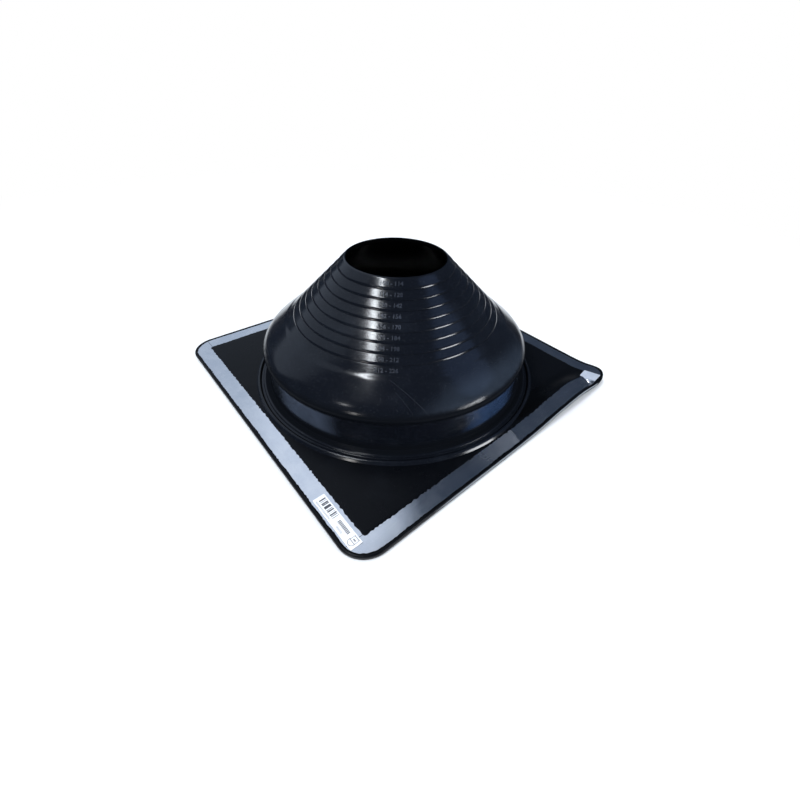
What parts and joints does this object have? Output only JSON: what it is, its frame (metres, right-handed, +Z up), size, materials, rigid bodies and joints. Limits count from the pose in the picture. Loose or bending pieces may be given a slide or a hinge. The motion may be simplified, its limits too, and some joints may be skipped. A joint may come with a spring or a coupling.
{
  "type": "pipe flashing boot",
  "caption": "Black rubber roof pipe boot: stepped cone and domed bell on a square flange whose edge holds flat aluminium strips.",
  "frame": {"origin": "centre of the flange's underside, on the pipe's axis", "axes": "+Z up along the pipe's axis, out of the small opening; the flange's sides lie along X and Y, front side towards -Y"},
  "size_m": [0.363, 0.363, 0.1314],
  "materials": {
    "black_rubber": "glossy moulded",
    "soft_aluminium": "mill finish, satin",
    "label_paper": "coated paper"
  },
  "bodies": {
    "root": {"boot": "black_rubber", "edge_strip_front": "soft_aluminium", "edge_strip_right": "soft_aluminium", "edge_strip_back": "soft_aluminium", "edge_strip_left": "soft_aluminium", "label": "label_paper"}
  },
  "joints": []
}
